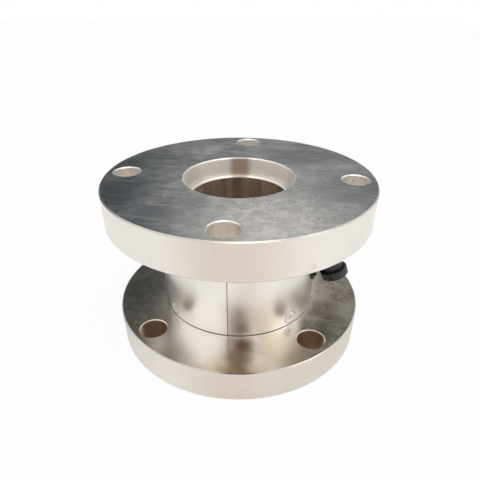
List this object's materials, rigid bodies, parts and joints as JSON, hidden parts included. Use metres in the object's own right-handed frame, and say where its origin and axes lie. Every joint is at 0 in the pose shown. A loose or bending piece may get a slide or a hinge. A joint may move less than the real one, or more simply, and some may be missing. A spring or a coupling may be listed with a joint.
{
  "type": "flanged static torque sensor",
  "caption": "Flange-to-flange static torque sensor: two drilled flanges, a hidden measuring tube under a thin polished two-part cover and a black angled cable outlet.",
  "frame": {"origin": "centre of the lower flange's mating face", "axes": "+Z along the torque axis from the lower flange to the upper flange, +X through an upper bolt hole, the cable outlet 10 degrees to its right seen from outside"},
  "size_m": [0.118, 0.118, 0.076],
  "materials": {
    "steel": "turned and face-ground",
    "cover": "polished sheet",
    "screws": "nickel plated",
    "rubber": "matt black",
    "nylon": "black moulded",
    "brass": "nickel plated",
    "board": "solder mask",
    "film": "film",
    "resistor": "lacquered",
    "wire": "insulated"
  },
  "bodies": {
    "root": {"spring_body": "steel", "cover_shell_left": "cover", "cover_shell_right": "cover", "cover_screws": "screws", "lower_cover_seal": "rubber", "upper_cover_seal": "rubber", "balance_board": "board", "board_standoffs": "brass", "board_screws": "screws", "trim_resistors": "resistor", "bridge_harness": "wire", "outlet_lead": "wire", "outlet_gasket": "rubber", "outlet_cable_seal": "rubber", "outlet_base": "nylon", "outlet_elbow": "nylon", "outlet_collar": "nylon", "outlet_lock_nut": "brass", "strain_gauge_1": "film", "gauge_terminal_1": "board", "strain_gauge_2": "film", "gauge_terminal_2": "board", "strain_gauge_3": "film", "gauge_terminal_3": "board", "strain_gauge_4": "film", "gauge_terminal_4": "board"}
  },
  "joints": []
}
